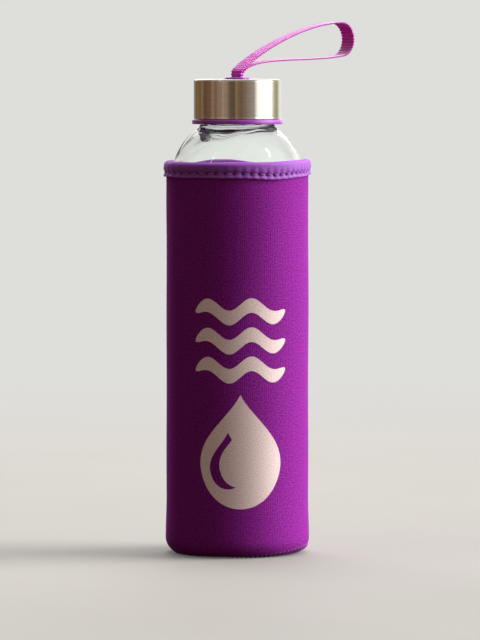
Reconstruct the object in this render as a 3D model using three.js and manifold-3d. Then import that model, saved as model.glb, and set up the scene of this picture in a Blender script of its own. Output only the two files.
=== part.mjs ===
// A glass water bottle in a neoprene sleeve: bottle, screw cap with a carry strap, and sleeve.
// Millimetres, +Z up. The origin is the centre of the sleeve's base, and the print side faces -Y.
import * as THREE from 'three'
import { mergeVertices } from 'three/addons/utils/BufferGeometryUtils.js'
import Module from 'manifold-3d'

// ---- Driving dimensions ----
const roundSteps = 40               // facets round the axis, one of them square to each of X and Y

const glassRadius = 32
const glassWall = 2
const glassBottom = 2.5             // height of the heel that the bottle stands on
const heelRadius = 5.3
const baseThickness = 4
const pushUp = 2.2                  // how far the base domes up in the middle
const shoulderStart = 182
const shoulderRadius = 30
const neckRootRadius = 17.2
const neckBoreRadius = 14.7
const beadRadius = 18.5
const beadLow = 206.3
const beadHigh = 208.3
const lipTop = 221
const lipRound = 0.9

const threadPitch = 4.2             // right-handed, one start
const glassThreadCrest = 18.6
const glassThreadStart = 212.4
const glassThreadTurns = 1.6
const capThreadCrest = 17.9
const capThreadTurns = 1.25
const capThreadDrop = 2.5           // the cap's thread runs this far under the glass thread
const threadStepsPerTurn = 24

const linerRadius = 20.5
const linerBore = 18.95
const flangeRadius = 22
const flangeLow = 209.2
const flangeHigh = 211.1
const flangeEdge = 0.4              // bevels on the flange's lower and upper edge
const flangeTopEdge = 0.3
const linerTopEdge = 0.6
const sealLow = 221.1
const sealThickness = 1.5
const sealClearance = 0.15          // all round, inside the liner's bore
const sealEdge = 0.3
const linerPlateLow = 222.7
const linerPlateThickness = 1.5

const coverRadius = 21.2
const coverWall = 0.4
const coverLow = 211.4
const coverTop = 230.2
const coverEdgeRound = 0.9

const grommetHoleRadius = 5.4
const grommetBarrelRadius = 5.2
const grommetFlangeRadius = 6.2
const grommetFlangeThickness = 0.8
const grommetBarrelLow = 228.2
const grommetGap = 0.1
const slotLength = 8.9
const slotWidth = 2.9
const lockRingInner = 5.45
const lockRingOuter = 7.6
const lockRingLow = 228.5
const lockRingThickness = 1.1

const strapWidth = 8.3
const strapThickness = 0.75
const strapHeading = Math.PI / 4    // the loop leans over towards +X and +Y
const legSpacing = 0.5              // from the loop's middle plane to the middle of each leg
const pinRadius = 0.9
const pinLength = 10.4
const pinHeight = 227
const rootTop = 231.9               // the ribbon stands up this far and then folds over
const foldHeight = 233.1            // height of the line that the loop swings about
const loopReach = 77.7
const loopTop = 257.8
const loopTurnRadius = 8.3
// The two strands as [reach, height] points: where each starts at the fold, then its two handles.
const upperStrand = [[0.5, foldHeight + 1.8], [17, 246.2], [48, 257.2]]
const lowerStrand = [[1.6, foldHeight + 1], [10.5, 242], [48, 238.1]]
const quarterPull = 0.5523          // handle length of a quarter circle of radius 1
const pinClearance = 0.25

const sleeveRadius = 34.5
const sleeveThickness = 2.2
const sleeveCornerRadius = 7.5
const sleeveSeamRadius = 26.9       // where the turned-in panel meets the base disc
const baseGap = 0.8                 // room for the seam's thread round the disc
const bindingLow = 183.3
const bindingTop = 190.6
const bindingProud = 0.9
const tapeThickness = 0.6
const pinchedInner = 33.05          // the neoprene is pressed thin under the binding
const bindingStitchHeight = 185.1
const threadWidth = 0.5
const sideSeamWidth = 3.6
const sideSeamThickness = 0.3

// ---- Materials ----
const clearGlass = new THREE.MeshStandardMaterial({
  color: 0xdfe6e2, roughness: 0.03, metalness: 0, transparent: true, opacity: 0.35,
})
const brushedSteel = new THREE.MeshStandardMaterial({ color: 0xb9aea2, roughness: 0.32, metalness: 1 })
const purplePolypropylene = new THREE.MeshStandardMaterial({ color: 0x8e2f9e, roughness: 0.35 })
const clearSilicone = new THREE.MeshStandardMaterial({ color: 0xe4e2de, roughness: 0.45 })
const plainSteel = new THREE.MeshStandardMaterial({ color: 0xa8a8aa, roughness: 0.3, metalness: 1 })
const ribbonWebbing = new THREE.MeshStandardMaterial({ color: 0xd24fd0, roughness: 0.75 })
const neopreneJersey = new THREE.MeshStandardMaterial({ color: 0x7f237f, roughness: 0.85 })
const lycraTape = new THREE.MeshStandardMaterial({ color: 0x7c459a, roughness: 0.7 })
const sewingThread = new THREE.MeshStandardMaterial({ color: 0x6a2a78, roughness: 0.7 })

// ---- Joining and cutting ----
const wasm = await Module()
wasm.setup()

function toSolid(geometry) {
  const bare = geometry.clone()
  bare.deleteAttribute('normal')
  bare.deleteAttribute('uv')
  const merged = mergeVertices(bare, 1e-5)
  return new wasm.Manifold(new wasm.Mesh({
    numProp: 3,
    vertProperties: new Float32Array(merged.attributes.position.array),
    triVerts: new Uint32Array(merged.index.array),
  }))
}

function toGeometry(solid) {
  const mesh = solid.getMesh()
  const geometry = new THREE.BufferGeometry()
  geometry.setAttribute('position', new THREE.BufferAttribute(mesh.vertProperties, 3))
  geometry.setIndex(new THREE.BufferAttribute(mesh.triVerts, 1))
  return geometry
}

// ---- Shapes that several pieces share ----

// A profile is a list of [radius, height] points that runs up the outside and down the inside.
function turned(profile, steps = roundSteps) {
  const points = profile.map(([radius, height]) => new THREE.Vector2(radius, height))
  const geometry = new THREE.LatheGeometry(points, steps, Math.PI / steps)
  geometry.rotateX(Math.PI / 2)
  return geometry
}

function ring(inner, outer, low, high, steps = roundSteps) {
  return turned([[inner, low], [outer, low], [outer, high], [inner, high], [inner, low]], steps)
}

// Points on an arc about [radius, height], from one angle to another, both in degrees.
function arc(radius, height, arcRadius, fromAngle, toAngle, count) {
  const points = []
  for (let i = 0; i <= count; i++) {
    const angle = THREE.MathUtils.degToRad(fromAngle + (toAngle - fromAngle) * i / count)
    points.push([radius + arcRadius * Math.cos(angle), height + arcRadius * Math.sin(angle)])
  }
  return points
}

// A ridge that climbs round the axis. It fades in and out over a sixth of a turn, and its root is
// buried in the wall that it is joined to.
function threadRidge({ root, crest, start, turns, rootHalf, crestHalf, phase }) {
  const steps = Math.round(turns * threadStepsPerTurn)
  const fade = threadStepsPerTurn / 6
  const geometry = new THREE.BoxGeometry(1, 1, 1, steps, 1, 1)
  const position = geometry.attributes.position
  for (let i = 0; i < position.count; i++) {
    const along = position.getX(i) + 0.5
    const step = along * steps
    const size = Math.min(1, step / fade, (steps - step) / fade)
    const atCrest = (position.getZ(i) > 0) === (crest > root)
    const side = Math.sign(position.getY(i))
    const radius = atCrest ? root + (crest - root) * size : root
    const half = atCrest ? crestHalf : rootHalf
    const angle = phase + along * turns * 2 * Math.PI
    const height = start + along * turns * threadPitch + side * half
    position.setXYZ(i, radius * Math.cos(angle), radius * Math.sin(angle), height)
  }
  return geometry
}

// A flat ribbon that follows a path in the XZ plane, with its width along Y.
function ribbon(path, steps) {
  const section = new THREE.Shape()
  section.moveTo(-strapWidth / 2, -strapThickness / 2)
  section.lineTo(strapWidth / 2, -strapThickness / 2)
  section.lineTo(strapWidth / 2, strapThickness / 2)
  section.lineTo(-strapWidth / 2, strapThickness / 2)
  section.closePath()
  return new THREE.ExtrudeGeometry(section, { steps, extrudePath: path, bevelEnabled: false })
}

// ---- Bottle ----

function glassBottle() {
  const shoulderCentre = glassRadius - shoulderRadius
  const creaseAngle = THREE.MathUtils.radToDeg(Math.acos((beadRadius - shoulderCentre) / shoulderRadius))
  const insideShoulder = shoulderRadius - glassWall
  const insideAngle = THREE.MathUtils.radToDeg(Math.acos((neckBoreRadius - shoulderCentre) / insideShoulder))
  const floorHeight = glassBottom + baseThickness
  const outside = [
    [0, glassBottom + pushUp],
    [12, glassBottom + pushUp * 0.8],
    [22, glassBottom + pushUp * 0.25],
    [24.5, glassBottom],
    ...arc(glassRadius - heelRadius, glassBottom + heelRadius, heelRadius, -90, 0, 4),
    ...arc(shoulderCentre, shoulderStart, shoulderRadius, 0, creaseAngle, 8),
    [beadRadius - 0.25, beadLow + 1],
    [beadRadius, beadHigh - 0.5],
    [beadRadius - 0.5, beadHigh],
    [neckRootRadius, beadHigh + 0.6],
    [neckRootRadius, lipTop - lipRound],
    [neckRootRadius - lipRound, lipTop],
  ]
  const inside = [
    [neckBoreRadius + 0.5, lipTop],
    [neckBoreRadius, lipTop - 0.6],
    ...arc(shoulderCentre, shoulderStart, insideShoulder, insideAngle, 0, 7),
    ...arc(glassRadius - glassWall - heelRadius, floorHeight + heelRadius, heelRadius, 0, -90, 3),
    [12, floorHeight + pushUp * 0.8],
    [0, floorHeight + pushUp],
  ]
  const body = toSolid(turned([...outside, ...inside]))
  const ridge = toSolid(threadRidge({
    root: neckRootRadius - 0.6,
    crest: glassThreadCrest,
    start: glassThreadStart,
    turns: glassThreadTurns,
    rootHalf: 1.2,
    crestHalf: 0.45,
    phase: 0,
  }))
  return toGeometry(body.add(ridge))
}

// ---- Cap ----

function capCover() {
  const edge = coverRadius - coverEdgeRound
  const inner = coverRadius - coverWall
  const innerEdge = coverEdgeRound - coverWall
  return turned([
    [inner, coverLow],
    [coverRadius, coverLow],
    ...arc(edge, coverTop - coverEdgeRound, coverEdgeRound, 0, 90, 3),
    [grommetHoleRadius, coverTop],
    [grommetHoleRadius, coverTop - coverWall],
    ...arc(edge, coverTop - coverEdgeRound, innerEdge, 90, 0, 2),
    [inner, coverLow],
  ])
}

function capLiner() {
  const plateTop = linerPlateLow + linerPlateThickness
  const body = toSolid(turned([
    [0, linerPlateLow],
    [linerBore, linerPlateLow],
    [linerBore, flangeLow],
    [flangeRadius - flangeEdge, flangeLow],
    [flangeRadius, flangeLow + flangeEdge],
    [flangeRadius, flangeHigh - flangeTopEdge],
    [flangeRadius - flangeTopEdge, flangeHigh],
    [linerRadius, flangeHigh],
    [linerRadius, plateTop - linerTopEdge],
    [linerRadius - linerTopEdge, plateTop],
    [0, plateTop],
  ]))
  const ridge = toSolid(threadRidge({
    root: linerBore + 0.5,
    crest: capThreadCrest,
    start: glassThreadStart - capThreadDrop + threadPitch * 0.5,
    turns: capThreadTurns,
    rootHalf: 0.95,
    crestHalf: 0.4,
    phase: Math.PI,
  }))
  return toGeometry(body.add(ridge))
}

function capSeal() {
  const top = sealLow + sealThickness
  const outer = linerBore - sealClearance
  return turned([
    [neckBoreRadius, sealLow],
    [outer - sealEdge, sealLow],
    [outer, sealLow + sealEdge],
    [outer, top - sealEdge],
    [outer - sealEdge, top],
    [neckBoreRadius, top],
    [neckBoreRadius, sealLow],
  ])
}

// ---- Strap and its fastening in the cap ----

function strapGrommet() {
  const flangeLow = coverTop + grommetGap
  const flangeTop = flangeLow + grommetFlangeThickness
  const body = toSolid(turned([
    [0, grommetBarrelLow],
    [grommetBarrelRadius, grommetBarrelLow],
    [grommetBarrelRadius, flangeLow],
    [grommetFlangeRadius, flangeLow],
    [grommetFlangeRadius, flangeTop - 0.4],
    [grommetFlangeRadius - 0.4, flangeTop],
    [0, flangeTop],
  ], 32))
  const slot = new THREE.BoxGeometry(slotWidth, slotLength, 10)
  slot.translate(0, 0, flangeTop - 2)
  return toGeometry(body.subtract(toSolid(slot)))
}

function grommetLockRing() {
  return ring(lockRingInner, lockRingOuter, lockRingLow, lockRingLow + lockRingThickness, 32)
}

function strapAnchorPin() {
  const length = pinLength / 2
  const profile = [[0, -length], [pinRadius - 0.2, -length], [pinRadius, -length + 0.2],
    [pinRadius, length - 0.2], [pinRadius - 0.2, length], [0, length]]
  const geometry = turned(profile, 16)
  geometry.rotateX(Math.PI / 2)
  geometry.translate(0, 0, pinHeight)
  return geometry
}

// Down one leg, round the pin and up the other leg.
function strapRoot() {
  const bend = pinRadius + pinClearance + strapThickness / 2
  const path = new THREE.CurvePath()
  const bendStart = new THREE.Vector3(-bend, 0, pinHeight)
  const bendLow = new THREE.Vector3(0, 0, pinHeight - bend)
  const bendEnd = new THREE.Vector3(bend, 0, pinHeight)
  const pull = bend * quarterPull
  const slotLow = grommetBarrelLow + 0.6
  const legIn = new THREE.Vector3(-legSpacing, 0, slotLow)
  const legOut = new THREE.Vector3(legSpacing, 0, slotLow)
  const down = new THREE.Vector3(0, 0, -pull)
  const side = new THREE.Vector3(pull, 0, 0)
  path.add(new THREE.LineCurve3(new THREE.Vector3(-legSpacing, 0, rootTop), legIn))
  path.add(new THREE.CubicBezierCurve3(legIn, legIn.clone().add(down),
    bendStart.clone().sub(down), bendStart))
  path.add(new THREE.CubicBezierCurve3(bendStart, bendStart.clone().add(down),
    bendLow.clone().sub(side), bendLow))
  path.add(new THREE.CubicBezierCurve3(bendLow, bendLow.clone().add(side),
    bendEnd.clone().add(down), bendEnd))
  path.add(new THREE.CubicBezierCurve3(bendEnd, bendEnd.clone().sub(down),
    legOut.clone().add(down), legOut))
  path.add(new THREE.LineCurve3(legOut, new THREE.Vector3(legSpacing, 0, rootTop)))
  return ribbon(path, 34)
}

// A teardrop: up the long strand, round the turn and back along the lower strand.
function carryStrap() {
  const at = ([reach, height]) => new THREE.Vector3(reach, 0, height)
  const turnCentre = loopReach - loopTurnRadius
  const turnHeight = loopTop - loopTurnRadius
  const loopLow = turnHeight - loopTurnRadius
  const pull = loopTurnRadius * quarterPull
  const path = new THREE.CurvePath()
  path.add(new THREE.CubicBezierCurve3(...upperStrand.map(at), at([turnCentre, loopTop])))
  path.add(new THREE.CubicBezierCurve3(at([turnCentre, loopTop]), at([turnCentre + pull, loopTop]),
    at([loopReach, turnHeight + pull]), at([loopReach, turnHeight])))
  path.add(new THREE.CubicBezierCurve3(at([loopReach, turnHeight]), at([loopReach, turnHeight - pull]),
    at([turnCentre + pull, loopLow]), at([turnCentre, loopLow])))
  const [start, nearHandle, farHandle] = lowerStrand.map(at)
  path.add(new THREE.CubicBezierCurve3(at([turnCentre, loopLow]), farHandle, nearHandle, start))
  return ribbon(path, 44)
}

// ---- Sleeve ----

function sleevePanel() {
  const centre = sleeveRadius - sleeveCornerRadius
  const inner = sleeveRadius - sleeveThickness
  const innerCorner = sleeveCornerRadius - sleeveThickness
  const pinchedOuter = sleeveRadius - 0.1
  return turned([
    [sleeveSeamRadius, 0],
    ...arc(centre, sleeveCornerRadius, sleeveCornerRadius, -88, 0, 5),
    [sleeveRadius, bindingLow - 0.4],
    [pinchedOuter, bindingLow + 0.6],
    [pinchedOuter, bindingTop - 1],
    [pinchedInner, bindingTop - 1],
    [pinchedInner, bindingLow + 0.6],
    [inner, bindingLow - 0.4],
    ...arc(centre, sleeveCornerRadius, innerCorner, 0, -88, 4),
    [sleeveSeamRadius, sleeveThickness],
    [sleeveSeamRadius, 0],
  ])
}

function sleeveBase() {
  const radius = sleeveSeamRadius - baseGap
  return turned([[0, 0], [radius, 0], [radius, sleeveThickness], [0, sleeveThickness]])
}

function baseStitching() {
  const inner = sleeveSeamRadius - baseGap + 0.1
  return ring(inner, sleeveSeamRadius - 0.1, 0.5, sleeveThickness - 0.3)
}

// Folded tape: the outer leg, over the top and down the inner leg.
function sleeveBinding() {
  const outer = sleeveRadius + bindingProud
  const outerLeg = outer - tapeThickness
  const innerLeg = pinchedInner - 0.1
  const inner = sleeveRadius - sleeveThickness
  const legLow = bindingLow + 1.4
  return turned([
    [outerLeg, bindingLow],
    [outer, bindingLow],
    [outer, bindingTop - 1.5],
    [outer - 0.4, bindingTop - 0.5],
    [outer - 1.2, bindingTop],
    [inner + 0.8, bindingTop],
    [inner, bindingTop - 0.7],
    [inner, legLow],
    [innerLeg, legLow],
    [innerLeg, bindingTop - 0.75],
    [outerLeg, bindingTop - 0.75],
    [outerLeg, bindingLow],
  ])
}

function bindingStitching() {
  const inner = sleeveRadius + bindingProud + 0.05
  const low = bindingStitchHeight - threadWidth / 2
  return ring(inner, inner + 0.25, low, low + threadWidth)
}

// A flat seam down the back, on the facet that faces +Y.
function sideSeamStitching() {
  const low = sleeveCornerRadius + 1.5
  const high = bindingLow - 1
  const shape = new THREE.Shape()
  shape.moveTo(-sideSeamWidth / 2, 0)
  shape.lineTo(sideSeamWidth / 2, 0)
  shape.lineTo(sideSeamWidth / 2 - 0.3, sideSeamThickness)
  shape.lineTo(-sideSeamWidth / 2 + 0.3, sideSeamThickness)
  shape.closePath()
  const geometry = new THREE.ExtrudeGeometry(shape, { depth: high - low, bevelEnabled: false })
  geometry.translate(0, sleeveRadius * Math.cos(Math.PI / roundSteps) + 0.05, low)
  return geometry
}

// ---- Assembly ----

function addPiece(group, name, geometry, material) {
  const mesh = new THREE.Mesh(geometry, material)
  mesh.name = name
  group.add(mesh)
}

const sleeve = new THREE.Group()
addPiece(sleeve, 'sleeve_panel', sleevePanel(), neopreneJersey)
addPiece(sleeve, 'sleeve_base', sleeveBase(), neopreneJersey)
addPiece(sleeve, 'sleeve_binding', sleeveBinding(), lycraTape)
addPiece(sleeve, 'binding_stitching', bindingStitching(), sewingThread)
addPiece(sleeve, 'base_stitching', baseStitching(), sewingThread)
addPiece(sleeve, 'side_seam_stitching', sideSeamStitching(), sewingThread)

const cap = new THREE.Group()
addPiece(cap, 'cap_cover', capCover(), brushedSteel)
addPiece(cap, 'cap_liner', capLiner(), purplePolypropylene)
addPiece(cap, 'cap_seal', capSeal(), clearSilicone)

// The ribbon and its fastening are drawn in the XZ plane and turned to the loop's heading.
const strap = new THREE.Group()
strap.rotation.z = strapHeading
addPiece(strap, 'strap_grommet', strapGrommet(), purplePolypropylene)
addPiece(strap, 'grommet_lock_ring', grommetLockRing(), purplePolypropylene)
addPiece(strap, 'strap_anchor_pin', strapAnchorPin(), plainSteel)
addPiece(strap, 'strap_root', strapRoot(), ribbonWebbing)
addPiece(strap, 'carry_strap', carryStrap(), ribbonWebbing)
cap.add(strap)

const bottle = new THREE.Group()
addPiece(bottle, 'glass_bottle', glassBottle(), clearGlass)
bottle.add(cap)
bottle.add(sleeve)

export default bottle
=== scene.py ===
# A glass water bottle in a neoprene sleeve, with a steel-covered screw cap and a ribbon strap.
# Metres, +Z up, standing on z = 0, with the printed side towards -Y.
import math

import bpy
import numpy as np
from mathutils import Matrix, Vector


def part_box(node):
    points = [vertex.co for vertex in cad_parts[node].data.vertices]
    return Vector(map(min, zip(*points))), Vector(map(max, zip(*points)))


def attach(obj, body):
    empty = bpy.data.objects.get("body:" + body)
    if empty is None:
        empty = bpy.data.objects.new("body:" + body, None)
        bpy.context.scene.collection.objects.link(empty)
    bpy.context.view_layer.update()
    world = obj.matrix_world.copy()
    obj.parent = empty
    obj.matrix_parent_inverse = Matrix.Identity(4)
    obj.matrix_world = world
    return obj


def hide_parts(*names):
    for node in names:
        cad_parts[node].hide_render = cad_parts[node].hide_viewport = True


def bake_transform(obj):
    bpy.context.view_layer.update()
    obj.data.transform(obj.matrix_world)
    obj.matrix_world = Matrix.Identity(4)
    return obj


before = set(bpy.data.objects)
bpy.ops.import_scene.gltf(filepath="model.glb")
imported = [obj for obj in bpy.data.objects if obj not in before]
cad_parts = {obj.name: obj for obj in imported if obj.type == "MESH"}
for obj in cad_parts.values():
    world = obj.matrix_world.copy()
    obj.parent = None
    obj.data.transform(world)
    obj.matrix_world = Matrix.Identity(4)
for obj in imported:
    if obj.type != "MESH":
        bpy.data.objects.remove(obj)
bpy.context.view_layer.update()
print("frame loaded,", len(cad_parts), "nodes")

mm = 0.001
cadFacets = 40                      # facets round the axis on the turned nodes


# ---- Camera ----

view = {
    "place": Vector((1.3 * mm, -2.4, 0.245)),
    "aim": Vector((1.3 * mm, 0, 0.1132)),
    "lens": 278,
}


def addCamera():
    camera = bpy.data.objects.new("camera", bpy.data.cameras.new("camera"))
    bpy.context.scene.collection.objects.link(camera)
    camera.data.lens = view["lens"]
    camera.data.sensor_width = 36
    camera.data.clip_end = 50
    camera.location = view["place"]
    camera.rotation_euler = (view["aim"] - view["place"]).to_track_quat("-Z", "Y").to_euler()
    bpy.context.scene.camera = camera


addCamera()


# ---- Small tools for modelling ----

def roundRadius(node):
    # the radius of a turned node's corners, from its box, which touches the flats
    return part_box(node)[1].x / math.cos(math.pi / cadFacets)


def deselect():
    if bpy.context.object and bpy.context.object.mode != "OBJECT":
        bpy.ops.object.mode_set(mode="OBJECT")
    bpy.ops.object.select_all(action="DESELECT")


def pick(piece):
    deselect()
    piece.select_set(True)
    bpy.context.view_layer.objects.active = piece


def applyModifier(piece, kind, **settings):
    pick(piece)
    modifier = piece.modifiers.new(kind.lower(), kind)
    for key, value in settings.items():
        setattr(modifier, key, value)
    bpy.ops.object.modifier_apply(modifier=modifier.name)


def settle(piece):
    # the object goes to the origin and its place into its mesh
    pick(piece)
    bpy.ops.object.transform_apply(location=True, rotation=True, scale=True)


def smooth(piece, degrees=35):
    pick(piece)
    bpy.ops.object.shade_smooth_by_angle(angle=math.radians(degrees))


def places(piece):
    co = np.empty(len(piece.data.vertices) * 3)
    piece.data.vertices.foreach_get("co", co)
    return co.reshape(-1, 3)


def moveTo(piece, co):
    piece.data.vertices.foreach_set("co", co.astype(np.float32).ravel())
    piece.data.update()


def roundUp(co):
    # each point's distance from the axis, and its angle round it from the front
    return np.hypot(co[:, 0], co[:, 1]), np.arctan2(co[:, 0], -co[:, 1])


def layRound(radius, angle, height):
    # the other way: points from distances, angles from the front and heights
    return np.stack([radius * np.sin(angle), -radius * np.cos(angle), height], 1)


def pushOut(co, radius, shift):
    scale = (radius + shift) / radius
    co[:, 0] *= scale
    co[:, 1] *= scale


def ramp(value, start, end):
    # 0 up to the start, and 1 from the end on; either may be the higher one
    return np.clip((value - start) / (end - start), 0, 1)


def ease(share):
    return share * share * (3 - 2 * share)


def hump(distance, width):
    return np.exp(-(distance / width) ** 2)


def selectWhere(piece, kind, test):
    # selects the edges or faces that pass the test, and stays in edit mode
    pick(piece)
    bpy.ops.object.mode_set(mode="EDIT")
    bpy.ops.mesh.select_mode(type=kind)
    bpy.ops.mesh.select_all(action="DESELECT")
    bpy.ops.object.mode_set(mode="OBJECT")
    for part in piece.data.edges if kind == "EDGE" else piece.data.polygons:
        part.select = test(part)
    bpy.ops.object.mode_set(mode="EDIT")


def edgeSpan(piece, edge):
    # how far an edge reaches along X, Y and Z
    a, b = (piece.data.vertices[i].co for i in edge.vertices)
    return [abs(n) for n in a - b]


def closeUp(piece, gap=0.001 * mm):
    # merges points that are nearer than the gap, and turns the faces outwards
    pick(piece)
    bpy.ops.object.mode_set(mode="EDIT")
    bpy.ops.mesh.select_all(action="SELECT")
    bpy.ops.mesh.remove_doubles(threshold=gap)
    bpy.ops.mesh.normals_make_consistent(inside=False)
    bpy.ops.object.mode_set(mode="OBJECT")


def arcRings(radius, height, bendR, bendZ, fromAngle, toAngle, count):
    # rings on an elliptical arc about [radius, height]
    rings = []
    for i in range(count + 1):
        angle = math.radians(fromAngle + (toAngle - fromAngle) * i / count)
        rings.append((radius + bendR * math.cos(angle), height + bendZ * math.sin(angle)))
    return rings


def corner(radius, height, bend, start, count):
    # rounds the corner at [radius, height], over the quarter turn that starts at these degrees
    middle = math.radians(start + 45)
    return arcRings(radius - math.copysign(bend, math.cos(middle)),
                    height - math.copysign(bend, math.sin(middle)), bend, bend, start, start + 90, count)


def near(radius, height, *steps):
    # rings at steps in millimetres from a point, outwards and up
    return [(radius + out * mm, height + up * mm) for out, up in steps]


def straightRings(start, end, count):
    return [(start[0] + (end[0] - start[0]) * i / count,
             start[1] + (end[1] - start[1]) * i / count) for i in range(count + 1)]


def drawRings(name, rings, sides, firstPole=None, lastPole=None, closed=False):
    # One circle, extruded and scaled from ring to ring. A pole closes an end on the axis, and a
    # closed profile ends on its first ring.
    deselect()
    radius, height = rings[0]
    bpy.ops.mesh.primitive_circle_add(vertices=sides, radius=radius, location=(0, 0, height))
    piece = bpy.context.object
    piece.name = piece.data.name = name
    bpy.ops.object.transform_apply(location=True)
    bpy.ops.object.mode_set(mode="EDIT")
    bpy.ops.mesh.select_all(action="SELECT")
    for nextRadius, nextHeight in rings[1:]:
        bpy.ops.mesh.extrude_region_move(
            TRANSFORM_OT_translate={"value": (0, 0, nextHeight - height)})
        scale = nextRadius / radius
        bpy.ops.transform.resize(value=(scale, scale, 1), center_override=(0, 0, 0))
        radius, height = nextRadius, nextHeight
    if lastPole is not None:
        bpy.ops.mesh.extrude_region_move(TRANSFORM_OT_translate={"value": (0, 0, lastPole - height)})
        bpy.ops.mesh.merge(type="CENTER")
    if firstPole is not None:
        bpy.ops.mesh.select_all(action="DESELECT")
        bpy.ops.mesh.select_mode(type="EDGE")
        bpy.ops.mesh.select_non_manifold()
        bpy.ops.mesh.extrude_region_move(
            TRANSFORM_OT_translate={"value": (0, 0, firstPole - rings[0][1])})
        bpy.ops.mesh.merge(type="CENTER")
        bpy.ops.mesh.select_mode(type="VERT")
    bpy.ops.mesh.select_all(action="SELECT")
    if closed:
        bpy.ops.mesh.remove_doubles(threshold=0.02 * mm)
    bpy.ops.mesh.normals_make_consistent(inside=False)
    bpy.ops.object.mode_set(mode="OBJECT")
    return piece


def joinAll(name, parts):
    deselect()
    for part in parts:
        part.select_set(True)
    bpy.context.view_layer.objects.active = parts[0]
    bpy.ops.object.join()
    piece = bpy.context.object
    piece.name = piece.data.name = name
    settle(piece)
    return piece


def boolean(piece, other, operation):
    applyModifier(piece, "BOOLEAN", object=other, operation=operation, solver="EXACT")
    bpy.data.objects.remove(other, do_unlink=True)


# ---- Materials ----

def linear(hexColour):
    channels = [int(hexColour[i:i + 2], 16) / 255 for i in (1, 3, 5)]
    return tuple(c / 12.92 if c <= 0.04045 else ((c + 0.055) / 1.055) ** 2.4
                 for c in channels) + (1,)


def addNode(tree, kind, inputs=None, **settings):
    # each input is given a value, or the node or socket that feeds it
    node = tree.nodes.new("ShaderNode" + kind)
    for key, value in settings.items():
        setattr(node, key, value)
    for name, value in (inputs or {}).items():
        if isinstance(value, bpy.types.Node):
            value = value.outputs[0]
        if isinstance(value, bpy.types.NodeSocket):
            tree.links.new(value, node.inputs[name])
        else:
            node.inputs[name].default_value = value
    return node


def newMaterial(name):
    material = bpy.data.materials.new(name)
    material.use_nodes = True
    tree = material.node_tree
    tree.nodes.clear()
    shader = addNode(tree, "BsdfPrincipled")
    addNode(tree, "OutputMaterial", {"Surface": shader})
    return material, tree, shader


def setShader(shader, **values):
    for key, value in values.items():
        shader.inputs[key.replace("_", " ")].default_value = value


def setRamp(node, stops):
    # stops are (position, colour) with hex colours or greys from 0 to 1
    ramp = node.color_ramp
    for position, colour in stops[2:]:
        ramp.elements.new(position)
    for element, (position, colour) in zip(ramp.elements, sorted(stops)):
        element.position = position
        element.color = linear(colour) if isinstance(colour, str) else (colour,) * 3 + (1,)


def axisAngle(tree, place):
    # a place's X, Y and Z, and its angle round the axis from the front
    split = addNode(tree, "SeparateXYZ", {0: place})
    forward = addNode(tree, "Math", {0: split.outputs["Y"], 1: -1}, operation="MULTIPLY")
    angle = addNode(tree, "Math", {0: split.outputs["X"], 1: forward}, operation="ARCTAN2")
    return split, angle.outputs[0]


def roundTheAxis(tree, radius):
    # a flat pattern space in millimetres: along the circumference from the front, and up the axis
    split, angle = axisAngle(tree, addNode(tree, "TexCoord").outputs["Object"])
    along = addNode(tree, "Math", {0: angle, 1: radius / mm}, operation="MULTIPLY")
    up = addNode(tree, "Math", {0: split.outputs["Z"], 1: 1 / mm}, operation="MULTIPLY")
    return addNode(tree, "CombineXYZ", {"X": along, "Y": up}).outputs[0]


def knitHeight(tree, flat, wale, course):
    # jersey: columns of small loops, a wale wide and a course tall, as a height from 0 to 1
    split = addNode(tree, "SeparateXYZ", {0: flat})
    column = addNode(tree, "Math", {0: split.outputs["X"], 1: 2 * math.pi / wale}, operation="MULTIPLY")
    bulge = addNode(tree, "Math", {0: column}, operation="COSINE")
    slant = addNode(tree, "Math", {0: bulge, 1: 1.4}, operation="MULTIPLY")
    row = addNode(tree, "Math", {0: split.outputs["Y"], 1: 2 * math.pi / course}, operation="MULTIPLY")
    tilted = addNode(tree, "Math", {0: row, 1: slant}, operation="ADD")
    loops = addNode(tree, "Math", {0: tilted}, operation="SINE")
    both = addNode(tree, "Math", {0: loops, 1: bulge}, operation="ADD")
    return addNode(tree, "MapRange", {"From Min": -2, "From Max": 2, "Value": both}).outputs[0]


def fuzzyKnit(tree, flat, wale, course, fuzzSize, fuzzShare, detail, roughness):
    # the loops with uneven fuzz over them: both together, and the fuzz alone
    fuzz = addNode(tree, "TexNoise", {"Scale": 1 / fuzzSize, "Detail": detail, "Roughness": roughness,
                                      "Vector": flat}).outputs[0]
    both = addNode(tree, "Mix", {"Factor": fuzzShare, "A": knitHeight(tree, flat, wale, course), "B": fuzz},
                   data_type="FLOAT")
    return both.outputs[0], fuzz


def surfaceFrom(tree, shader, pattern, stops, rough=None, relief=None, raised=None):
    # One pattern gives the colour, the roughness from its low to its high value, and the relief,
    # as a strength and a depth. The relief may have a pattern of its own.
    tone = addNode(tree, "ValToRGB", {"Fac": pattern})
    setRamp(tone, stops)
    tree.links.new(tone.outputs[0], shader.inputs["Base Color"])
    if rough is not None:
        dull = addNode(tree, "MapRange", {"To Min": rough[0], "To Max": rough[1], "Value": pattern})
        tree.links.new(dull.outputs[0], shader.inputs["Roughness"])
    if relief is not None:
        bump = addNode(tree, "Bump", {"Strength": relief[0], "Distance": relief[1],
                                      "Height": pattern if raised is None else raised})
        tree.links.new(bump.outputs[0], shader.inputs["Normal"])
    return tone.outputs[0]


def borosilicateGlass():
    # clear, fire-polished borosilicate tube: no colour of its own, a trace of green where it is thick
    material, _, shader = newMaterial("borosilicate glass, fire polished")
    setShader(shader, Base_Color=linear("#FAFDFB"), Roughness=0.0, IOR=1.47,
              Transmission_Weight=1.0)
    return material


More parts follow.
